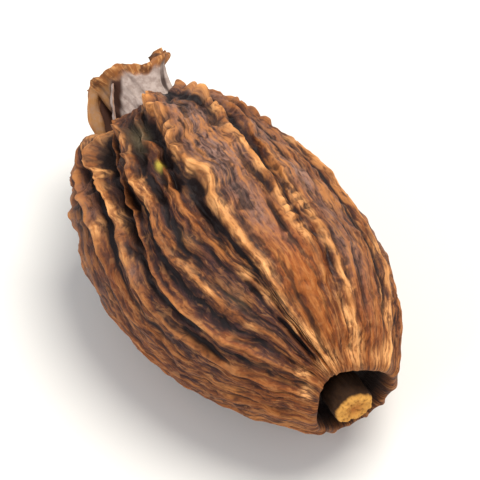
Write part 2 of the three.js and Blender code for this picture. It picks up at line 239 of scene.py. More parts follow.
# rows evenly along the outline, sparser in the two pits
tt = np.linspace(0, 1, 6001)
px, pr, ph, pc, pnx, pnr = profile(tt)
seg = np.hypot(np.diff(px), np.diff(pr))
mid_t = 0.5 * (tt[1:] + tt[:-1])
weight = np.where((mid_t < 2.6 / 20) | (mid_t > 17.5 / 20), 0.45, 1.0)
weight = np.where((mid_t > 3 / 20) & (mid_t < 8 / 20), 1.25, weight)
walk = np.concatenate([[0], np.cumsum(seg * weight)])
walk /= walk[-1]
T = np.interp(np.linspace(0, 1, ROWS), walk, tt)
along = np.interp(T, tt, np.concatenate([[0], np.cumsum(seg)]))  # arc length, mm
X, R, H, C, NX, NRAD = profile(T)

# places across a rib: closer together at the crest
v = np.linspace(-1, 1, PER_RIB, endpoint=False)
W1 = np.sign(v) * np.abs(v) ** 1.25
IR = np.repeat(np.arange(NR), PER_RIB)
W = np.tile(W1, NR)

X2, R2, H2, C2, NX2, NR2, A2 = [np.broadcast_to(q[:, None], (ROWS, COLS)) for q in (X, R, H, C, NX, NRAD, along)]


def crest_deg(i):
    sway = (0.12 + 0.2 * smooth(1, -8, X)) * smooth(14, 9, X) * ripple(i + 40, X, 0.16)
    fine = (0.05 + 0.13 * smooth(3, -6, X)) * smooth(14, 10, X) * ripple(i + 140, X, 0.42)
    if i == MAIN_RIB:  # it steps aside round one hollow
        fine = fine + 0.55 * np.exp(-((X + 0.9) / 1.2) ** 2)
    return through(STATIONS, RIBS[i], X) + (sway + fine) / np.maximum(R, 2.5) / RAD


def crest_size(i):
    tooth = (0.08 + 0.16 * smooth(0, -7, X)) * smooth(14, 10, X) * ripple(i + 80, X, 0.21)
    return through([-9, 2, 13], RIB_SIZE[i], X) * (1 + tooth)


CREST = np.array([crest_deg(i) for i in range(NR)])
SIZE = np.array([crest_size(i) for i in range(NR)])

deg = np.zeros((ROWS, COLS))
size = np.zeros((ROWS, COLS))
u0 = np.zeros(COLS)  # the angle of a column at mid length: a number that stays with a fibre
gap = np.zeros((ROWS, COLS))  # mm from crest to valley
tone = np.zeros((ROWS, COLS))
HL = np.zeros((ROWS, COLS))
for c in range(COLS):
    i, w = IR[c], W[c]
    o = (i - 1) % NR if w < 0 else (i + 1) % NR
    nxt = CREST[o].copy()
    base0, next0 = RIBS[i][4], RIBS[o][4]
    if w < 0:
        nxt = np.where(nxt < CREST[i], nxt + 360, nxt)
        next0 += 360 if next0 < base0 else 0
    else:
        nxt = np.where(nxt > CREST[i], nxt - 360, nxt)
        next0 -= 360 if next0 > base0 else 0
    deg[:, c] = CREST[i] + (nxt - CREST[i]) / 2 * abs(w)
    u0[c] = base0 + (next0 - base0) / 2 * abs(w)
    gap[:, c] = np.abs(nxt - CREST[i]) / 2 * RAD * R
    size[:, c] = SIZE[i]
    tone[:, c] = through([-9, 2, 13], RIB_TONE[i], X)
    near, far = through([-9, 2, 13], RIB_DEPTH[i], X), through([-9, 2, 13], RIB_DEPTH[o], X)
    HL[:, c] = H * (near + (far - near) * 0.5 * w * w)
U0 = np.broadcast_to(u0, (ROWS, COLS))
I2 = np.broadcast_to(IR, (ROWS, COLS))
W2 = np.broadcast_to(W, (ROWS, COLS))

# seam-free coordinates that run with the fibres
FIB = np.stack([A2, 8.0 * np.sin(U0 * RAD), 8.0 * np.cos(U0 * RAD)], -1)
BASE = np.stack([X2, C2 + R2 * np.sin(deg * RAD), R2 * np.cos(deg * RAD)], -1)

tube_end = smooth(1.0, -7.5, X2)     # 1 near the flower end
outer = smooth(2.3, 3.6, R2)         # 0 in the pits
stalk_lip = smooth(12.5, 15.2, X2)

# wandering fibres
warp = np.stack([np.zeros_like(X2), 0.9 * fbm(BASE * 0.28, 5, 2), 0.9 * fbm(BASE * 0.28 + 40, 9, 2)], -1)
F = FIB + warp

# crests: a broad foot with a narrow cord along the top, notched into knobs towards the flower end
seed_i = I2 * 7.31 + 3
knobby = np.array(RIB_KNOB)[IR][None, :] + 0 * X2
d1, k1 = cells(A2 + 1.7 * hash1(seed_i, 2.0), 1.6, seed_i)
d2, k2 = cells(A2 + 0.9 * hash1(seed_i, 5.0), 0.8, seed_i + 55)
notch = np.exp(-((d1 - 0.8) / 0.32) ** 2)
notch2 = np.exp(-(d2 / 0.26) ** 2) * (0.2 + 0.8 * k2)
bead = ((0.04 + 0.20 * tube_end) * notch + (0.04 + 0.04 * tube_end) * notch2) * (0.3 + 0.7 * knobby)
twin = np.where((I2 == 3) | (I2 == 4), np.exp(-((X2 - 4.4) / 2.1) ** 2), 0.0)  # past the middle two crests run side by side as rows of small beads
twin_gap = np.exp(-(d2 / 0.20) ** 2)
bead = bead + 0.30 * twin * twin_gap
knob = np.exp(-(d1 / 0.56) ** 4) * (0.3 + 0.7 * k1)
wob = perlin(np.stack([A2 * 0.7, seed_i, X2 * 0], -1), 3)
wide_i = 0.85 + 0.4 * hash1(seed_i, 9.0) + 0.2 * perlin(np.stack([A2 * 0.25, seed_i * 3, X2 * 0], -1), 4)
k = np.clip(gap / 1.5, 0.3, 1.15)
dist = np.abs(W2) * gap
foot_mm = FOOT * k * wide_i
cord_mm = CORD * k * (1 + 0.30 * wob) * (1 + (0.2 + 0.42 * knobby) * tube_end)


def rib(d):
    return (1 - CORD_SHARE) * np.exp(-np.power(d / foot_mm, 1.7)) + CORD_SHARE * np.exp(-(d / cord_mm) ** 2)


edge = rib(gap)
shape = (rib(dist) - edge) / np.maximum(1 - edge, 0.01)
cord = np.exp(-(dist / (cord_mm * 1.1)) ** 2)
rise = HL * (size * shape * (1 - bead * cord) - 1)
jag = perlin(np.stack([A2 * 0.85, seed_i * 5, np.sign(W2) * 0.4 + 0 * A2], -1), 6) + 0.45 * perlin(np.stack([A2 * 1.5, seed_i * 9, W2 * 1.5], -1), 7)
lump_mm = (0.03 + 0.22 * tube_end) * knob * np.exp(-(dist / (0.35 + 0.3 * knobby)) ** 2.6) * knobby * outer * smooth(-10.8, -9.5, X2)
rise = rise + lump_mm + 0.14 * twin * (1 - 1.3 * twin_gap) * np.exp(-(dist / 0.38) ** 2) - 0.10 * tube_end * outer + (0.06 + 0.05 * tube_end) * (np.tanh(1.6 * jag) - 0.3) * np.exp(-(dist / 0.5) ** 2) * outer * smooth(15.0, 13.5, X2)

# above the main rib the side stands out a little, below it it falls back
past = deg - CREST[MAIN_RIB][:, None]
past = (past + 180) % 360 - 180
terrace = STEP_UP * smooth(-1, 4, past) * smooth(75, 40, past) - STEP_DOWN * smooth(0, -7, past) * smooth(-55, -22, past)
rise = rise + terrace * smooth(-10, -7, X2) * smooth(15, 12.5, X2) * outer

# the hollows between ribs deepen towards the flower end
valley = 1 - np.exp(-(dist / (0.9 * k)) ** 2)
panel = np.exp(-(((X2 + 3.4) / 7.2) ** 2 + ((deg - 22) * RAD * np.maximum(R2, 3) / 2.3) ** 2) ** 2)
pit = (1 - panel) * smooth(0.0, 0.5, fbm(np.stack([A2 * 0.24, U0 * 0.06, 0 * X2], -1), 23, 2)) * tube_end * smooth(-10.0, -7.8, X2)
rise = rise - outer * valley * (0.10 * tube_end * (1 - panel) + 0.5 * pit)
rise = rise + 0.30 * valley * outer * np.exp(-((deg - 13) / 9) ** 2 - ((X2 - 11) / 2.2) ** 2)  # the hollow above the main rib fills up near the stalk
POCKETS = [  # place along and round the pod, half length, half width, depth
    (-8.0, -2.5, 1.5, 0.85, 0.55), (-4.3, 3.2, 0.8, 0.5, 0.5), (-2.7, -2.0, 1.0, 0.6, 0.6), (-8.5, -29, 1.5, 0.6, 1.1), (-9.6, -37, 1.2, 0.7, 0.9),
    (-3.6, -28, 1.6, 0.75, 1.1), (-1.6, -33.5, 1.6, 0.5, 0.9), (-0.6, 6.0, 0.9, 0.45, 0.45), (-2.3, -11, 0.8, 0.4, 0.5),
    (-6.2, -7.5, 0.9, 0.4, 0.4), (-7.0, 40.5, 0.7, 0.35, 0.5), (-4.7, 33, 0.5, 0.3, 0.3), (1.5, -40.5, 2.2, 0.35, 0.5),
    (4.5, -46, 2.2, 0.35, 0.5), (7.5, -52, 1.6, 0.4, 0.45), (1.5, 1.2, 1.8, 0.3, 0.35), (6.0, 1.0, 2.2, 0.2, 0.2),
    (1.0, 28.5, 1.6, 0.2, 0.3), (4.5, 23.5, 1.5, 0.2, 0.25), (7.6, -6.5, 0.9, 0.35, 0.35), (11.5, -6.5, 1.5, 0.3, 0.3),
]
SWELLS = [  # the same for places that stand out: the height comes last
    (-5.5, 25, 4.0, 1.5, 0.45), (0.5, 20, 5.0, 1.3, 0.30), (1.8, 48, 1.8, 1.1, 0.30), (8.0, 15, 4.0, 1.0, 0.20),
    (-10.2, -54, 0.9, 0.85, 1.40), (-8.9, -64, 1.0, 0.85, 1.10), (-1.8, -16.5, 0.7, 0.5, 0.25), (8.5, 47, 3.0, 1.0, 0.20),
]
hole = np.zeros_like(rise)
for xx, dd, la, wa, dp in POCKETS:
    e = ((X2 - xx) / la) ** 2 + ((deg - dd) * RAD * R2 / wa) ** 2
    hole = np.maximum(hole, dp * np.exp(-e ** 1.5))
rise = rise - hole * (1 - 0.9 * cord)
for xx, dd, la, wa, hh in SWELLS:
    e = ((X2 - xx) / la) ** 2 + ((deg - dd) * RAD * np.maximum(R2, 3) / wa) ** 2
    rise = rise + hh * smooth(3.2, 4.8, R2) * np.exp(-e ** 1.5) * (1 - 0.8 * cord)

# secondary ridges and wrinkles
flank = 1 - 0.75 * cord
r1 = perlin(F * [0.07, 0.62, 0.62], 11)
r2 = perlin(F * [0.10, 1.35, 1.35] + 13, 12)
r3 = 1 - 2 * np.abs(perlin(F * [0.16, 2.6, 2.6] + 31, 15))
r4 = 1 - 2 * np.abs(perlin(BASE * 1.2 + 3, 19))
cr1 = fbm(BASE * 0.42, 21, 2)
cr2 = fbm(F * [0.9, 1.9, 1.9], 27, 2)
patch = smooth(-0.1, 0.4, fbm(BASE * 0.3 + 60, 33, 2))
taper = smooth(15.2, 13.2, X2) * outer
second = (0.14 * r1 + 0.13 * r2 + 0.09 * r3) * flank
rise = rise + taper * (second + 0.18 * (1 - 0.7 * panel) * cr1 + (0.05 + 0.04 * tube_end) * cr2 + (0.02 + 0.05 * patch) * r4 * flank)

# the crests lean over one way or the other towards the flower end
lean_mm = (0.30 * ripple(3.3, X2 * 0 + I2 * 0.37, 1.0) - 0.12) * tube_end * outer * smooth(-10.3, -8.5, X2)
lift = np.clip(rise + HL, 0, None) / np.maximum(HL, 0.3)
dlean = lean_mm * np.clip(lift, 0, 1.4) ** 1.5 / np.maximum(R2, 3) / RAD

ang = deg + dlean
lump = 1 - THREE_SIDED * np.cos(3 * (deg - FLAT_SIDE_DEG) * RAD) * smooth(2, 6, R2)
rad = np.maximum(R2 * lump + NR2 * rise, 0.0)
off = rad * np.sin(ang * RAD)
leanx = LEAN * off * smooth(-3, -10, X2) * smooth(2, 4, R2)
worn = (deg - RIM_CUT_DEG + 180) % 360 - 180
leanx = leanx - RIM_CUT * np.exp(-(worn / RIM_CUT_SPREAD) ** 2) * smooth(12.2, 15.05, X2)
P = np.stack([X2 + NX2 * rise + leanx, C2 + off, rad * np.cos(ang * RAD)], -1)

# inside the pits the wall is folded a little
pitw = (1 - outer)
P[..., 1] += pitw * 0.12 * ripple(5.0, U0 / 60, 1.0) * smooth(0, 1.2, R2)


def blur(a, rows, cols):
    """box blur twice, wrapping round the pod"""
    for _ in range(2):
        if cols:
            k = np.arange(-cols, cols + 1)
            a = sum(np.roll(a, s, axis=1) for s in k) / len(k)
        if rows:
            pad = np.pad(a, ((rows, rows), (0, 0)), mode="edge")
            a = sum(pad[s:s + a.shape[0]] for s in range(2 * rows + 1)) / (2 * rows + 1)
    return a


along_rib = blur(rise, 6, 0)
cav_wide = along_rib - blur(along_rib, 0, 8)
cav_fine = rise - blur(rise, 1, 3)
hgt = np.clip((rise + HL) / np.maximum(HL * 1.1, 0.35), 0, 1.3)

# colour regions: soft blots given by place along and round the pod, half length and half width in mm, and strength
def blots(rows, wander=0.6):
    wx = wander * fbm(BASE * 0.35 + 90, 61, 2)
    wd = wander * fbm(BASE * 0.35 + 30, 62, 2)
    out = np.zeros_like(X2)
    for xx, dd, la, wa, st in rows:
        turn = (deg - dd + 180) % 360 - 180
        e = ((X2 - xx + wx) / la) ** 2 + ((turn * RAD * np.maximum(R2, 2) + wd) / wa) ** 2
        out = np.maximum(out, st * np.exp(-e ** 1.3))
    return out


gold = blots([(8.5, 18, 5.5, 2.4, 1.0), (12.5, 40, 3.5, 3.5, 0.9), (13.5, 5, 3.0, 3.0, 1.0), (14.4, 30, 1.3, 3.5, 1.0), (10.5, 62, 4.0, 2.0, 0.6), (-4.0, -49, 1.6, 0.6, 1.0),
              (-1.5, -62, 4.0, 1.4, 0.9), (3.5, -100, 7, 4, 0.6), (9.0, -38, 3.0, 0.8, 0.7), (-3.6, -15, 2.2, 0.5, 0.8),
              (6.0, 150, 7, 5, 0.7), (-4.0, -150, 5, 4, 0.6), (11, -150, 4, 4, 0.8), (-1.5, 100, 5, 2.5, 0.5), (12.5, -60, 3, 3, 0.6)])
mauve = blots([(-8.5, 62, 3.0, 4.0, 0.9), (-6.5, 27, 3.4, 1.7, 1.0), (-2.0, 22, 3.5, 1.5, 1.0), (3.0, 17, 3.0, 1.3, 0.8), (1.8, 47.5, 2.0, 1.1, 1.0),
               (-3.5, 58, 3.5, 1.6, 0.8), (7.0, 50, 4.5, 1.4, 0.6), (-6.5, -52, 3.0, 1.0, 0.8), (0.5, -47, 1.2, 0.8, 0.7), (-6.0, 120, 4, 4, 0.7),
               (4.0, 110, 5, 3, 0.5), (-5.0, -80, 4.5, 2.0, 1.0), (-6.0, 180, 5, 4, 0.7), (2, -140, 5, 3, 0.5), (-3, -110, 4, 3, 0.6)])
knob_gap_shade = notch * np.exp(-(dist / 0.6) ** 2) * np.clip(knobby, 0, 1) * (0.25 + 0.75 * tube_end) * outer  # painted shade in the gaps between the knobs of a crest
knob_gap_shade = np.maximum(knob_gap_shade, 0.8 * twin * twin_gap * np.exp(-(dist / 0.5) ** 2))
olive = blots([(-8.0, -2.5, 1.25, 0.75, 1.0), (2.0, -14, 1.0, 0.4, 0.22), (7.3, -17, 1.2, 0.5, 0.2)], 0.15)
# painted shade: darker in the low places between the ribs towards the flower end, and in the knob gaps
shade = tube_end * smooth(0.85, 0.30, hgt) * outer * (1 - 0.75 * mauve) * (1 - panel)
shade = np.maximum(shade, knob_gap_shade)
# dark plum patches: the husk's own purple tint on the lower side, and painted shade along the hollow below the main rib
plum_tint_and_shade = blots([(5.5, -13, 4.0, 1.1, 1.0), (10.5, -12, 3.5, 1.3, 1.0), (9.5, -29, 3.0, 0.8, 0.9), (0.0, -13, 3.0, 0.8, 0.9), (1.0, -30, 3.0, 0.9, 1.0), (5.0, -33, 3.0, 0.9, 1.0),
              (-3.8, -6, 1.5, 0.9, 0.9), (-3.8, 2.5, 1.2, 0.6, 1.0), (1.5, -41, 2.5, 0.5, 1.0), (5.5, -48, 2.5, 0.7, 1.0), (8.5, -46, 3.0, 0.7, 0.8), (8.0, -62, 3.5, 1.1, 0.6), (-4.5, -43, 3, 0.7, 0.8), (-10.0, -52, 1.2, 1.0, 0.9), (-8.6, -63, 1.0, 0.8, 0.7), (1.0, 1.0, 2.0, 0.5, 0.8),
              (3, 160, 4, 3, 0.6), (-2, -130, 5, 2, 0.6), (7, -80, 4, 2, 0.5), (-7, 85, 3, 1.5, 0.6), (8, 120, 3, 2, 0.5), (-1.0, -72, 6.0, 3.0, 0.5), (6.0, -64, 5.0, 2.5, 0.45)])


pale_spots_and_highlights = blots([  # light places: partly worn colour, partly painted highlight
    (-10.2, 11, 0.6, 0.35, 0.7), (-8.0, 15.5, 0.5, 0.35, 0.6), (-6.2, 13.5, 0.8, 0.38, 0.7), (-4.9, 10.5, 0.5, 0.38, 0.7), (-3.7, 9.0, 0.7, 0.42, 0.9), (-1.9, 9.5, 0.5, 0.5, 1.2), (-0.9, 13.3, 0.6, 0.4, 0.8),
    (0.0, 11.0, 0.6, 0.45, 0.9), (1.8, 6.0, 1.3, 0.45, 1.0), (4.3, 4.7, 0.9, 0.4, 0.7), (7.0, 3.6, 1.0, 0.38, 1.1), (12.0, 0.4, 1.8, 0.36, 1.25), (14.2, -2.3, 0.8, 0.7, 1.7), (14.3, 25, 0.8, 0.6, 1.5), (14.4, 66, 0.7, 0.7, 1.3), (10.8, -2.3, 0.6, 0.35, 1.2), (9.3, -0.6, 0.6, 0.35, 1.0),
    (6.5, -4.5, 0.6, 0.4, 0.8), (8.6, -3.8, 0.9, 0.4, 0.8), (11.0, -4.0, 0.5, 0.42, 1.0),
    (-8.5, 47, 0.9, 0.5, 0.8), (-7.2, 45, 0.6, 0.45, 0.7), (-5.9, 41, 0.6, 0.45, 0.8), (-3.0, 36.5, 1.0, 0.45, 0.8), (-1.7, 35.5, 0.6, 0.5, 1.2), (0.5, 33.0, 0.7, 0.45, 1.0),
    (3.2, 31.0, 0.6, 0.4, 1.0), (4.2, 30.4, 0.9, 0.4, 1.1), (5.8, 29, 1.2, 0.45, 0.8), (4.0, 36.8, 1.6, 0.4, 1.0), (7.0, 37, 0.8, 0.35, 0.5), (9.8, 35.5, 1.0, 0.4, 1.1), (12.5, 30, 2.2, 0.36, 1.25),
    (-2.5, 80, 2.0, 0.45, 0.6), (1.0, 77.5, 2.5, 0.5, 0.5), (7.6, 77.5, 0.7, 0.5, 0.9), (10.0, 77, 1.5, 0.4, 0.6), (12.6, 71, 2.4, 0.36, 1.25),
    (-3.4, -15.5, 1.3, 0.5, 0.8), (-2.2, -18.5, 0.7, 0.5, 0.8), (-7.5, -12.5, 1.5, 0.3, 0.6), (5.6, -24, 0.6, 0.4, 0.7), (9.3, -22, 0.5, 0.4, 0.6), (3.5, -25, 1.5, 0.4, 0.4),
    (-7.5, -38, 1.0, 0.3, 0.9), (-4.0, -35.5, 2.0, 0.28, 0.8), (-0.5, -44, 0.6, 0.5, 0.5), (-4.0, -49, 0.7, 0.45, 0.9), (6.6, -42, 0.5, 0.4, 0.9), (13.6, -26, 0.6, 0.5, 1.2), (14.5, -40, 0.5, 0.5, 1.1), (14.6, 48, 0.5, 0.5, 0.9),
    (-10.3, -47, 0.5, 0.7, 0.5), (-9.0, -45, 0.5, 0.5, 0.6),
], 0.25)
pale_spots_and_highlights = pale_spots_and_highlights * (1 - 0.8 * knob_gap_shade)
fleck = blots([(-4.2, -1.8, 0.36, 0.30, 1.0)], 0.1)


def grid_mesh(name, P, wrap_cols=True, cap_start=None, cap_end=None, attrs=None, uv=None):
    """a mesh from a (rows, cols, 3) grid in millimetres, closed round the columns, with an optional point at each end"""
    rows, cols = P.shape[:2]
    verts = [P.reshape(-1, 3)]
    a = np.arange(rows * cols).reshape(rows, cols)
    b = np.roll(a, -1, axis=1) if wrap_cols else a[:, 1:]
    a2 = a if wrap_cols else a[:, :-1]
    quads = np.stack([a2[:-1], b[:-1], b[1:], a2[1:]], -1).reshape(-1, 4)
    tris = []
    n = rows * cols
    for cap, row, flip in ((cap_start, 0, False), (cap_end, rows - 1, True)):
        if cap is None:
            continue
        verts.append(np.asarray(cap, float).reshape(1, 3))
        r0, r1 = a[row], np.roll(a[row], -1)
        tri = np.stack([np.full(cols, n), r1, r0], -1) if not flip else np.stack([np.full(cols, n), r0, r1], -1)
        tris.append(tri)
        n += 1
    V = np.concatenate(verts)
    loops = np.concatenate([quads.reshape(-1)] + [t.reshape(-1) for t in tris])
    counts = np.concatenate([np.full(len(quads), 4)] + [np.full(len(t), 3) for t in tris])
    starts = np.concatenate([[0], np.cumsum(counts)[:-1]])
    me = bpy.data.meshes.new(name)
    me.vertices.add(len(V))
    me.vertices.foreach_set("co", (V / 1000).astype(np.float32).ravel())
    me.loops.add(len(loops))
    me.loops.foreach_set("vertex_index", loops.astype(np.int32))
    me.polygons.add(len(counts))
    me.polygons.foreach_set("loop_start", starts.astype(np.int32))
    me.polygons.foreach_set("loop_total", counts.astype(np.int32))
    me.polygons.foreach_set("use_smooth", np.ones(len(counts), bool))
    me.update(calc_edges=True)
    me.validate()
    for key, val in (attrs or {}).items():
        val = np.asarray(val, float)
        if val.ndim == 3:
            flat = val.reshape(-1, 3)
            extra = len(V) - len(flat)
            flat = np.concatenate([flat] + ([np.repeat(flat[-1:], extra, axis=0)] if extra else []))
            at = me.attributes.new(key, "FLOAT_VECTOR", "POINT")
            at.data.foreach_set("vector", flat.astype(np.float32).ravel())
        else:
            flat = val.reshape(-1)
            extra = len(V) - len(flat)
            flat = np.concatenate([flat] + ([np.repeat(flat[-1:], extra)] if extra else []))
            at = me.attributes.new(key, "FLOAT", "POINT")
            at.data.foreach_set("value", flat.astype(np.float32))
    ob = bpy.data.objects.new(name, me)
    bpy.context.scene.collection.objects.link(ob)
    return ob


# =====================================================================
# materials
# =====================================================================
def srgb(r, g, b):
    out = []
    for q in (r, g, b):
        q /= 255
        out.append(q / 12.92 if q <= 0.04045 else ((q + 0.055) / 1.055) ** 2.4)
    return (*out, 1.0)


class Nodes:
    def __init__(self, name):
        self.mat = bpy.data.materials.new(name)
        self.mat.use_nodes = True
        self.t = self.mat.node_tree
        self.t.nodes.clear()
        self.out = self.t.nodes.new("ShaderNodeOutputMaterial")
        self.bsdf = self.t.nodes.new("ShaderNodeBsdfPrincipled")
        self.link(self.bsdf.outputs[0], self.out.inputs["Surface"])

    def link(self, a, b):
        self.t.links.new(a, b)

    def put(self, socket, value):
        if hasattr(value, "is_output"):
            self.link(value, socket)
        else:
            socket.default_value = value

    def attr(self, name, vector=False):
        n = self.t.nodes.new("ShaderNodeAttribute")
        n.attribute_name = name
        return n.outputs["Vector"] if vector else n.outputs["Fac"]

    def math(self, op, a, b=0.0, c=None, clamp=False):
        n = self.t.nodes.new("ShaderNodeMath")
        n.operation = op
        n.use_clamp = clamp
        self.put(n.inputs[0], a)
        self.put(n.inputs[1], b)
        if c is not None:
            self.put(n.inputs[2], c)
        return n.outputs[0]

    def scale(self, vec, s):
        n = self.t.nodes.new("ShaderNodeVectorMath")
        n.operation = "MULTIPLY"
        self.put(n.inputs[0], vec)
        n.inputs[1].default_value = s
        return n.outputs[0]

    def noise(self, vec, scale=1.0, detail=3.0, rough=0.55, distort=0.0):
        n = self.t.nodes.new("ShaderNodeTexNoise")
        self.put(n.inputs["Vector"], vec)
        n.inputs["Scale"].default_value = scale
        n.inputs["Detail"].default_value = detail
        n.inputs["Roughness"].default_value = rough
        n.inputs["Distortion"].default_value = distort
        return n.outputs["Fac"]

    def step(self, x, lo, hi, out_lo=0.0, out_hi=1.0):
        n = self.t.nodes.new("ShaderNodeMapRange")
        n.interpolation_type = "SMOOTHSTEP"
        self.put(n.inputs["Value"], x)
        n.inputs["From Min"].default_value = lo
        n.inputs["From Max"].default_value = hi
        n.inputs["To Min"].default_value = out_lo
        n.inputs["To Max"].default_value = out_hi
        return n.outputs[0]

    def mix(self, fac, a, b, kind="MIX"):
        n = self.t.nodes.new("ShaderNodeMix")
        n.data_type = "RGBA"
        n.blend_type = kind
        n.clamp_factor = True
        self.put(n.inputs["Factor"], fac)
        self.put(n.inputs["A"] if False else n.inputs[6], a)
        self.put(n.inputs[7], b)
        return n.outputs[2]

    def bump(self, height, strength, distance, normal=None):
        n = self.t.nodes.new("ShaderNodeBump")
        n.inputs["Strength"].default_value = strength
        n.inputs["Distance"].default_value = distance
        self.link(height, n.inputs["Height"])
        if normal is not None:
            self.link(normal, n.inputs["Normal"])
        return n.outputs[0]

    def set(self, **kw):
        for k, val in kw.items():
            self.put(self.bsdf.inputs[k.replace("_", " ")], val)


def husk_material():
    m = Nodes("husk")
    fib, pod = m.attr("fib", True), m.attr("pod", True)
    cavw, cavf, gold_, mauve_, plum_tint_and_shade_ = (m.attr(k) for k in ("cavw", "cavf", "gold", "mauve", "plum_tint_and_shade"))
    pale_crest_and_highlight = m.attr("crest")
    big = m.noise(m.scale(pod, (0.20, 0.20, 0.20)), 1.0, 3, 0.6)
    streak = m.noise(m.scale(fib, (0.13, 0.95, 0.95)), 1.0, 5, 0.68, 0.3)
    mid = m.noise(m.scale(fib, (0.30, 1.7, 1.7)), 1.0, 3, 0.6, 0.4)
    fine = m.noise(m.scale(fib, (0.7, 4.6, 4.6)), 1.0, 4, 0.65)
    speck = m.noise(m.scale(pod, (2.6, 2.6, 2.6)), 1.0, 3, 0.65)
    grain = m.noise(m.scale(fib, (1.0, 2.1, 2.1)), 1.0, 2, 0.6, 0.8)
    # ground tone
    col = m.mix(m.step(big, 0.36, 0.64), srgb(84, 42, 20), srgb(110, 58, 26))
    col = m.mix(m.math("MULTIPLY", gold_, m.step(streak, 0.25, 0.55, 0.6, 1.0)), col, srgb(152, 78, 24))
    col = m.mix(m.math("MULTIPLY", mauve_, m.step(speck, 0.25, 0.6, 0.55, 1.0)), col, srgb(150, 115, 102))
    # plum tint, with painted shade below the main rib
    col = m.mix(m.math("MULTIPLY", plum_tint_and_shade_, m.step(speck, 0.25, 0.6, 0.7, 1.0)), col, srgb(62, 36, 40))
    # streaks along the fibres
    dim = m.math("SUBTRACT", 1.0, m.math("MULTIPLY", plum_tint_and_shade_, 0.5))
    col = m.mix(m.math("MULTIPLY", dim, m.step(streak, 0.50, 0.70, 0.0, 0.60)), col, srgb(174, 104, 48))
    calm = m.math("SUBTRACT", m.math("SUBTRACT", 1.0, m.math("MULTIPLY", mauve_, 0.55)), m.math("MULTIPLY", gold_, 0.5), clamp=True)
    quiet = m.math("SUBTRACT", 1.0, m.math("MULTIPLY", gold_, 0.45))
    col = m.mix(m.math("MULTIPLY", calm, m.step(streak, 0.50, 0.32, 0.0, 0.88)), col, srgb(38, 18, 20))
    col = m.mix(m.math("MULTIPLY", dim, m.step(mid, 0.52, 0.66, 0.0, 0.68)), col, srgb(194, 126, 66))
    col = m.mix(m.math("MULTIPLY", calm, m.step(mid, 0.48, 0.33, 0.0, 0.78)), col, srgb(44, 20, 24))
    col = m.mix(m.math("MULTIPLY", dim, m.step(fine, 0.51, 0.66, 0.0, 0.65)), col, srgb(190, 122, 64))
    col = m.mix(m.math("MULTIPLY", quiet, m.step(fine, 0.50, 0.34, 0.0, 0.80)), col, srgb(36, 17, 18))
    col = m.mix(m.math("MULTIPLY", quiet, m.step(grain, 0.46, 0.34, 0.0, 0.65)), col, srgb(38, 18, 20))
    col = m.mix(m.step(grain, 0.56, 0.68, 0.0, 0.40), col, srgb(186, 128, 78))
    # painted shade in the low places and the gaps between knobs
    col = m.mix(m.math("MULTIPLY", m.attr("shade"), 0.72), col, srgb(56, 30, 27))
    # pale crests and ridges: partly worn colour, partly painted highlight
    ridge_wear_and_highlight = m.math("MULTIPLY", m.step(cavf, 0.0, 0.07), m.step(cavw, -0.06, 0.16, 0.2, 1.0))
    col = m.mix(m.math("MULTIPLY", ridge_wear_and_highlight, m.step(speck, 0.34, 0.64, 0.10, 0.55)), col, srgb(172, 102, 48))
    col = m.mix(m.math("MULTIPLY", pale_crest_and_highlight, m.math("MULTIPLY", m.step(grain, 0.36, 0.56, 0.25, 1.0), m.step(mid, 0.36, 0.54, 0.30, 1.0))), col, srgb(206, 138, 76))
    col = m.mix(m.math("MULTIPLY", m.math("MULTIPLY", m.attr("pale_spots_and_highlights"), m.step(fine, 0.38, 0.58, 0.15, 0.95)), m.step(grain, 0.36, 0.54, 0.25, 1.15), clamp=True), col, srgb(236, 170, 106))
    # painted shade: the grooves and hollows are darkened in the colour
    painted_shade_amount = m.math("ADD", m.step(cavw, 0.0, -0.33, 0.0, 0.88), m.step(cavf, 0.0, -0.09, 0.0, 0.60), clamp=True)
    col = m.mix(painted_shade_amount, col, srgb(23, 11, 13))
    # painted shade in the pockets and the pit at the stalk end
    col = m.mix(m.attr("hole"), col, srgb(34, 19, 14))
    col = m.mix(m.math("MULTIPLY", m.attr("olive"), m.step(speck, 0.3, 0.6, 0.6, 0.95)), col, srgb(122, 108, 84))
    col = m.mix(m.attr("fleck"), col, srgb(190, 170, 62))
    m.set(Base_Color=col)
    m.set(Roughness=m.step(streak, 0.3, 0.7, 0.52, 0.78))
    m.bsdf.inputs["Specular IOR Level"].default_value = 0.28
    h = m.math("ADD", m.math("MULTIPLY", fine, 0.6), m.math("MULTIPLY", speck, 0.5))
    h = m.math("ADD", h, m.math("MULTIPLY", streak, 0.6))
    h = m.math("ADD", h, m.math("MULTIPLY", mid, 0.8))
    h = m.math("ADD", h, m.math("MULTIPLY", grain, 0.7))
    m.set(Normal=m.bump(h, 0.7, 0.00018))
    return m.mat


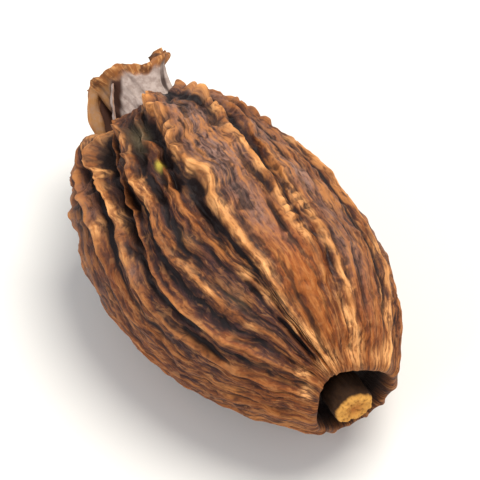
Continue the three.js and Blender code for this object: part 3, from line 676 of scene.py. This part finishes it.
def tube_material():
    m = Nodes("flower_tube")
    fib, pod = m.attr("fib", True), m.attr("pod", True)
    rim_, cav_ = m.attr("rim"), m.attr("cav")
    streak = m.noise(m.scale(fib, (0.35, 2.6, 2.6)), 1.0, 4, 0.6, 0.3)
    fine = m.noise(m.scale(fib, (1.2, 8.0, 8.0)), 1.0, 3, 0.6)
    speck = m.noise(m.scale(pod, (2.2, 2.2, 2.2)), 1.0, 3, 0.6)
    col = m.mix(m.step(speck, 0.35, 0.65), srgb(150, 132, 124), srgb(178, 161, 153))
    col = m.mix(m.step(streak, 0.52, 0.74, 0.0, 0.4), col, srgb(192, 172, 158))
    col = m.mix(m.step(streak, 0.46, 0.26, 0.0, 0.45), col, srgb(116, 92, 84))
    col = m.mix(m.step(fine, 0.46, 0.28, 0.0, 0.25), col, srgb(96, 72, 62))
    col = m.mix(m.math("MULTIPLY", m.attr("ochre"), m.step(speck, 0.3, 0.6, 0.6, 0.95)), col, srgb(150, 104, 56))
    # painted shade behind the shreds and inside the tube
    col = m.mix(m.attr("painted_shade"), col, srgb(62, 36, 25))
    col = m.mix(m.math("MULTIPLY", rim_, m.step(speck, 0.3, 0.55, 0.65, 1.0)), col, srgb(150, 94, 50))
    col = m.mix(m.math("MULTIPLY", rim_, m.step(fine, 0.48, 0.62, 0.0, 0.7)), col, srgb(206, 150, 94))
    patchy = m.noise(m.scale(pod, (1.1, 1.1, 1.1)), 1.0, 3, 0.6)
    col = m.mix(m.math("MULTIPLY", rim_, m.step(patchy, 0.52, 0.40, 0.0, 0.80)), col, srgb(92, 52, 30))
    # painted shade in the folds and deeper inside the tube
    col = m.mix(m.step(cav_, -0.02, -0.13, 0.0, 0.9), col, srgb(44, 26, 22))
    m.set(Base_Color=col, Roughness=0.82)
    m.bsdf.inputs["Specular IOR Level"].default_value = 0.25
    h = m.math("ADD", m.math("MULTIPLY", fine, 0.6), m.math("MULTIPLY", streak, 0.8))
    m.set(Normal=m.bump(h, 0.5, 0.00012))
    return m.mat


def stub_material():
    m = Nodes("stalk_stub")
    pod = m.attr("pod", True)
    face_, cav_ = m.attr("rim"), m.attr("cav")
    dots = m.noise(m.scale(pod, (0.9, 5.5, 5.5)), 1.0, 2, 0.5)
    speck = m.noise(m.scale(pod, (2.0, 2.0, 2.0)), 1.0, 3, 0.6)
    col = m.mix(m.step(speck, 0.35, 0.65), srgb(140, 88, 40), srgb(176, 116, 56))
    # painted shade on the side of the stub below its broken face
    col = m.mix(m.attr("painted_shade"), col, srgb(26, 15, 12))
    col = m.mix(m.math("MULTIPLY", face_, m.step(speck, 0.36, 0.60, 0.80, 1.0)), col, srgb(224, 164, 80))
    col = m.mix(m.math("MULTIPLY", face_, m.math("MULTIPLY", m.attr("core"), m.step(speck, 0.38, 0.6, 0.5, 1.0))), col, srgb(178, 108, 48))
    col = m.mix(m.math("MULTIPLY", face_, m.step(dots, 0.42, 0.30, 0.0, 0.45)), col, srgb(168, 112, 56))
    # painted shade in the hollows of the broken face
    col = m.mix(m.step(cav_, -0.02, -0.12, 0.0, 0.35), col, srgb(96, 58, 34))
    m.set(Base_Color=col, Roughness=0.85)
    m.bsdf.inputs["Specular IOR Level"].default_value = 0.25
    m.set(Normal=m.bump(m.math("ADD", dots, m.math("MULTIPLY", speck, 0.5)), 0.5, 0.00012))
    return m.mat


# ---------------------------------------------------------------- husk
PW = world(P)
PW[..., 2] = np.maximum(PW[..., 2], 0.0)
start = world(np.array([[X[0], C[0], 0.0]]))[0]
# painted shade: the pockets and the pit at the stalk end are darkened in the colour
pit_shade_paint = np.clip(hole * 1.1, 0, 0.85) * (1 - cord)
pit_shade_paint = np.maximum(pit_shade_paint, smooth(3.0, 2.6, R2) * smooth(11.5, 12.5, X2))
thin = np.exp(-(dist / (cord_mm * (0.80 + 0.35 * jag))) ** 2)
# the pale crest colour is partly worn colour, partly painted highlight
pale_crest_and_highlight_attr = np.maximum(thin, 0.9 * np.exp(-(dist / 0.38) ** 4) * knobby * tube_end) * (1 - tube_end * 0.65 * (1 - np.clip(knob * 1.5, 0, 1))) * smooth(0.35, 0.75, hgt) * outer * np.clip(tone, 0, 1.1) * (1 - 0.8 * knob_gap_shade)
husk = grid_mesh("husk_ribbed", PW, attrs=dict(fib=FIB, pod=BASE, cavw=(np.maximum(cav_wide, 0) + np.minimum(cav_wide, 0) * (1 - 0.5 * gold)) * (1 - 0.75 * panel), cavf=cav_fine * (1 - 0.4 * panel), hgt=hgt, gold=gold, mauve=mauve, plum_tint_and_shade=plum_tint_and_shade, olive=olive, shade=shade, crest=pale_crest_and_highlight_attr, hole=pit_shade_paint, pale_spots_and_highlights=pale_spots_and_highlights, fleck=fleck))
husk.data.materials.append(husk_material())
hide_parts("husk")
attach(husk, "root")

# ---------------------------------------------------------- flower tube
TUBE_BASE_X, TUBE_MOUTH_X, TUBE_OFF_Y, TUBE_RISE_Y = -9.5, -14.5, 0.05, -0.45
NECK_R, WAIST_R, MOUTH_R, TUBE_FLAT = 1.7, 2.15, 2.8, 0.28


def tube_grid(wall, rows=100, cols=220):
    a = np.linspace(0, 2 * math.pi, cols, endpoint=False)[None, :]
    floor = 1.6 / (TUBE_BASE_X - TUBE_MOUTH_X)
    us = np.concatenate([np.linspace(0, 1, rows), np.linspace(1, floor, rows)])[:, None]
    side = np.concatenate([np.zeros(rows), np.ones(rows)])[:, None]
    u = us + 0 * a
    A = a + 0 * us
    rr = NECK_R + (WAIST_R - NECK_R) * smooth(0, 0.4, u) + (MOUTH_R - WAIST_R) * smooth(0.3, 1, u)
    mouth = smooth(0.45, 1, u)
    lefty = np.exp(-(((A * 180 / math.pi - 268 + 180) % 360 - 180) / 48) ** 2)  # the side that stands straight up
    rr = rr - 0.85 * lefty * smooth(0.4, 1, u)
    torn = 0.40 * np.sin(2 * A + 3.4) + 0.28 * np.sin(3 * A + 2.1) + 0.15 * np.sin(7 * A + 0.4) + 0.75 * lefty
    ring = np.stack([0 * A, 3 * np.cos(A), 3 * np.sin(A)], -1)
    rag = 0.35 * perlin(ring * 1.0 + 3, 61) + 0.20 * perlin(ring * 2.2, 63) + 0.03 * perlin(ring * 5.5, 64)
    pleat = 1 + 0.045 * np.sin(6 * A + 1.0 + 0.8 * u) * smooth(0.1, 0.6, u) + 0.08 * mouth * np.sin(5 * A + 2.6)
    cyl = np.stack([u * 5.0, 2.1 * np.cos(A), 2.1 * np.sin(A)], -1)
    fold = 0.16 * perlin(cyl * [0.14, 0.7, 0.7], 71) + 0.07 * perlin(cyl * [0.25, 1.8, 1.8] + 9, 72)
    fold = fold + 0.12 * fbm(cyl * 0.6, 73, 2) + 0.03 * perlin(cyl * [0.5, 4.5, 4.5], 74)
    thick = wall * (0.5 + 0.5 * smooth(1.0, 0.6, u)) * side
    r = (rr - thick) * pleat + fold * smooth(0.0, 0.25, u)
    # the rim rolls outward, more in some places
    roll = smooth(0.82, 1.0, u) * (0.28 + 0.25 * perlin(ring * 0.8 + 11, 77) + 0.08 * perlin(ring * 1.9 + 5, 78)) * (1 - 0.6 * lefty)
    bump_ = smooth(0.78, 0.95, u) * (0.26 * perlin(ring * 1.5 + 21, 85) + 0.05 * perlin(ring * 3.2 + 21, 86))
    r = r + roll + bump_ + 0.20 * smooth(0.82, 0.94, u) * np.where(side > 0.5, -1, 1)
    x = TUBE_BASE_X + (TUBE_MOUTH_X - TUBE_BASE_X) * u - torn * mouth - rag * smooth(0.7, 1, u) + 0.25 * roll
    y = TUBE_OFF_Y + TUBE_RISE_Y * u + r * np.sin(A) * (1 + 0.06 * mouth)
    z = r * np.cos(A) * (1 - TUBE_FLAT * smooth(0.05, 0.6, u))
    Pt = np.stack([x, y, z], -1)
    # crease measure for painted shade in the folds; the inside wall is shaded darker towards the bottom
    cav = fold - 0.5 * (np.roll(fold, 7, axis=1) + np.roll(fold, -7, axis=1))
    cav = np.where(side > 0.5, cav - 0.10 * smooth(0.95, 0.5, u), cav)
    rim = np.clip(smooth(0.80, 0.90, u + 0.05 * perlin(ring * 1.7 + 2, 79)), 0, 1)
    across = 0.516 * x - 0.24 * z + 0.822 * y + 0.12 * perlin(ring * 1.3 + 7, 95)  # a slanting band down the tube, where painted shade darkens it
    # painted shade: the band behind the shreds, and the inside wall of the tube
    painted_shade = smooth(-7.75, -8.1, across) * (1 - 0.85 * smooth(-8.55, -8.85, across)) * (1 - 0.5 * rim)
    ochre = smooth(-8.5, -8.85, across) * (1 - side)
    return Pt, cyl, cav + 0.12 * bump_, rim, np.maximum(painted_shade, 0.5 * side), ochre


Pt, cyl, tcav, trim, tube_painted_shade, tochre = tube_grid(0.42)
floor_mid = np.array([[TUBE_BASE_X - 1.6, TUBE_OFF_Y - 0.1, 0.0]])
base_mid = np.array([[TUBE_BASE_X, TUBE_OFF_Y, 0.0]])
tube = grid_mesh("flower_tube_papery", world(Pt), cap_start=world(base_mid)[0], cap_end=world(floor_mid)[0],
                 attrs=dict(fib=cyl, pod=Pt, cav=tcav, rim=trim, painted_shade=tube_painted_shade, ochre=tochre))
tube_mat = tube_material()
tube.data.materials.append(tube_mat)
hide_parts("flower_tube")
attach(tube, "root")


def strip(name, pts, width, curl, twist, seed, tint, painted_shade_amount):
    """a curled shred of the tube: a thin trough along a curve, closed at both ends"""
    rows, cols = 60, 40
    t = np.linspace(0, 1, rows)
    mid = centripetal(pts, t)
    tan = np.gradient(mid, axis=0)
    tan /= np.linalg.norm(tan, axis=1)[:, None]
    out = mid * [0, 1, 1] + [0, 0.2, 0]
    e1 = np.cross(tan, out)
    e1 /= np.linalg.norm(e1, axis=1)[:, None]
    e2 = np.cross(e1, tan)
    ang_ = (twist[0] + (twist[1] - twist[0]) * t)[:, None] * RAD
    f1 = e1 * np.cos(ang_) + e2 * np.sin(ang_)
    f2 = -e1 * np.sin(ang_) + e2 * np.cos(ang_)
    phi = np.linspace(0, 2 * math.pi, cols, endpoint=False)[None, :]
    T2 = t[:, None] + 0 * phi
    w = width * (0.75 + 0.35 * np.sin(math.pi * T2 ** 0.8)) * (1 + 0.25 * perlin(np.stack([T2 * 5, 0 * T2 + seed, 0 * T2], -1), 91))
    w = w * np.where(T2 > 0.93, np.sqrt(np.clip((1.02 - T2) / 0.09, 0.02, 1)), 1)
    a_ = np.cos(phi) * w
    b_ = 0.07 * np.sin(phi) + curl * (np.cos(phi) ** 2) + 0.10 * perlin(np.stack([T2 * 6, a_ * 1.5, 0 * T2 + seed], -1), 92)
    Q = mid[:, None, :] + f1[:, None, :] * a_[..., None] + f2[:, None, :] * b_[..., None]
    edge_ = smooth(0.55, 0.95, np.abs(np.cos(phi)) + 0 * T2)
    fibre = np.stack([T2 * 4, a_ + seed, b_], -1)
    dip = -0.03 * (1 - edge_) * (np.sin(phi) > 0)
    ob = grid_mesh(name, world(Q), cap_start=world(mid[:1])[0], cap_end=world(mid[-1:])[0],
                   # the shred's last argument sets how much painted shade covers it
                   attrs=dict(fib=fibre, pod=Q, cav=dip + 0 * T2, rim=np.clip(0.45 * edge_, 0, 1), painted_shade=painted_shade_amount + 0 * T2, ochre=tint + 0 * T2))
    ob.data.materials.append(tube_mat)
    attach(ob, "root")
    return ob


strip("flower_shred_a", [[-13.77, -1.15, 1.9], [-12.62, -1.84, 2.0], [-11.62, -2.37, 1.95], [-10.2, -3.0, 1.5]], 0.20, 0.05, (-20, -10), 1.3, 0.0, 0.0)
strip("flower_shred_b", [[-9.7, -4.18, 0.4], [-11.4, -3.79, 0.9], [-12.77, -3.39, 1.2], [-14.07, -2.71, 1.2], [-15.1, -2.0, 0.9]], 0.46, 0.20, (85, 65), 4.1, 1.0, 0.1)
strip("flower_shred_c", [[-9.11, -3.98, 0.5], [-10.75, -3.77, 0.5], [-12.12, -3.18, 0.5], [-13.37, -2.43, 0.5], [-14.4, -1.8, 0.5]], 0.62, 0.15, (85, 75), 8.6, 0.0, 1.0)

# ----------------------------------------------------------- stalk stub
STUB_R, STUB_FROM, STUB_TO, STUB_Y = 1.35, 13.1, 15.55, -0.2


def stub_grid(cols=140):
    prof = np.array([[0, 0.25], [0, 0.9], [0.12, 1], [0.45, 1], [0.8, 0.97], [0.93, 0.88], [0.99, 0.72], [0.98, 0.5], [0.95, 0.28], [0.96, 0.08]])
    t = np.linspace(0, 1, 70)
    pp = centripetal(prof, t)
    a = np.linspace(0, 2 * math.pi, cols, endpoint=False)[None, :]
    u, q = pp[:, :1] + 0 * a, np.clip(pp[:, 1:], 0.03, None) + 0 * a
    A = a + 0 * u
    r = q * STUB_R * (1 - 0.10 * np.cos(2 * A) * smooth(0.3, 0.9, u) + 0.05 * np.sin(3 * A + 0.8) + 0.03 * np.sin(5 * A))
    pos = np.stack([u * 2, r * np.sin(A), r * np.cos(A)], -1)
    rough_face = smooth(0.8, 0.97, u) * (0.10 * perlin(pos * 2.6, 81) + 0.07 * perlin(pos * 5.5, 82))
    ridge = 0.06 * perlin(np.stack([u * 1.2, 3 * np.sin(A), 3 * np.cos(A)], -1) * 1.6, 83) * smooth(1.0, 0.9, q * 0 + u)
    r = r + ridge
    slant = (-0.34 * q * np.cos(A) + 0.10 * q * np.sin(A)) * smooth(0.4, 1, u)
    Ps = np.stack([STUB_FROM + (STUB_TO - STUB_FROM) * u + slant + rough_face, STUB_Y + r * np.sin(A), r * np.cos(A) * 0.88], -1)
    face = smooth(0.85, 0.97, u)
    core = np.exp(-(q / 0.45) ** 2) * (u > 0.9)
    return Ps, rough_face * 1.2, face, core


Ps, scav, sface, score = stub_grid()
# painted shade on the stub's side
stub = grid_mesh("stalk_stub_broken", world(Ps), cap_start=world(Ps[0].mean(0)[None])[0], cap_end=world(Ps[-1].mean(0)[None])[0],
                 attrs=dict(pod=Ps, cav=scav, rim=sface, core=score, painted_shade=0.92 * (1 - sface)))
stub.data.materials.append(stub_material())
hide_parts("stalk_stub")
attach(stub, "root")

# =====================================================================
# floor, light and camera
# =====================================================================
fm = Nodes("floor")
fm.set(Base_Color=(0.80, 0.79, 0.77, 1), Roughness=0.9)
me = bpy.data.meshes.new("floor")
me.from_pydata([(-1, -1, 0), (1, -1, 0), (1, 1, 0), (-1, 1, 0)], [], [(0, 1, 2, 3)])
floor = bpy.data.objects.new("floor", me)
bpy.context.scene.collection.objects.link(floor)
floor.data.materials.append(fm.mat)

CENTRE = (0.4053, -0.0909, -0.1868)  # what the camera looks at, in the pod frame
SEEN_DEG, SLOPE_DEG = 25.0, 55.3  # the pod's flower end is turned away by the first, its axis runs down the view by the second
cs, ss, ca, sa = math.cos(SEEN_DEG * RAD), math.sin(SEEN_DEG * RAD), math.cos(SLOPE_DEG * RAD), math.sin(SLOPE_DEG * RAD)
back = Vector(LAY @ np.array([ss, 0, cs]))
right = Vector(LAY @ np.array([ca * cs, sa, -ca * ss]))
up = Vector(LAY @ np.array([-sa * cs, ca, sa * ss]))
centre = Vector(world(np.array([CENTRE]))[0] / 1000)
DIST, SPAN = 0.34, 0.0325
cam_data = bpy.data.cameras.new("camera")
cam_data.sensor_width = 36
cam_data.lens = 36 * DIST / SPAN
cam_data.clip_start, cam_data.clip_end = 0.01, 10
cam = bpy.data.objects.new("camera", cam_data)
bpy.context.scene.collection.objects.link(cam)
cam.matrix_world = Matrix((
    (right.x, up.x, back.x, 0), (right.y, up.y, back.y, 0), (right.z, up.z, back.z, 0), (0, 0, 0, 1)))
cam.location = centre + back * DIST
bpy.context.scene.camera = cam


def area(name, direction, dist, size_, watts, color=(1, 1, 1)):
    d = Vector(direction).normalized()
    data = bpy.data.lights.new(name, "AREA")
    data.shape = "DISK"
    data.size = size_
    data.energy = watts
    data.color = color
    ob = bpy.data.objects.new(name, data)
    bpy.context.scene.collection.objects.link(ob)
    ob.location = centre + d * dist
    ob.rotation_euler = d.to_track_quat("Z", "Y").to_euler()
    return ob


key_dir = right * 0.30 + up * 0.75 + back * 0.70
area("key", key_dir, 0.60, 0.40, 3.9, (1.0, 0.96, 0.88))
area("fill", -right * 0.8 - up * 0.1 + back * 0.9, 0.7, 0.5, 1.8, (0.95, 0.97, 1.0))

sc = bpy.context.scene
w = bpy.data.worlds.new("world")
sc.world = w
w.use_nodes = True
bg = w.node_tree.nodes["Background"]
bg.inputs[0].default_value = (0.97, 0.98, 1.0, 1)
bg.inputs[1].default_value = 0.53
sc.view_settings.view_transform = "Standard"
sc.view_settings.look = "None"
sc.view_settings.exposure = 0.0
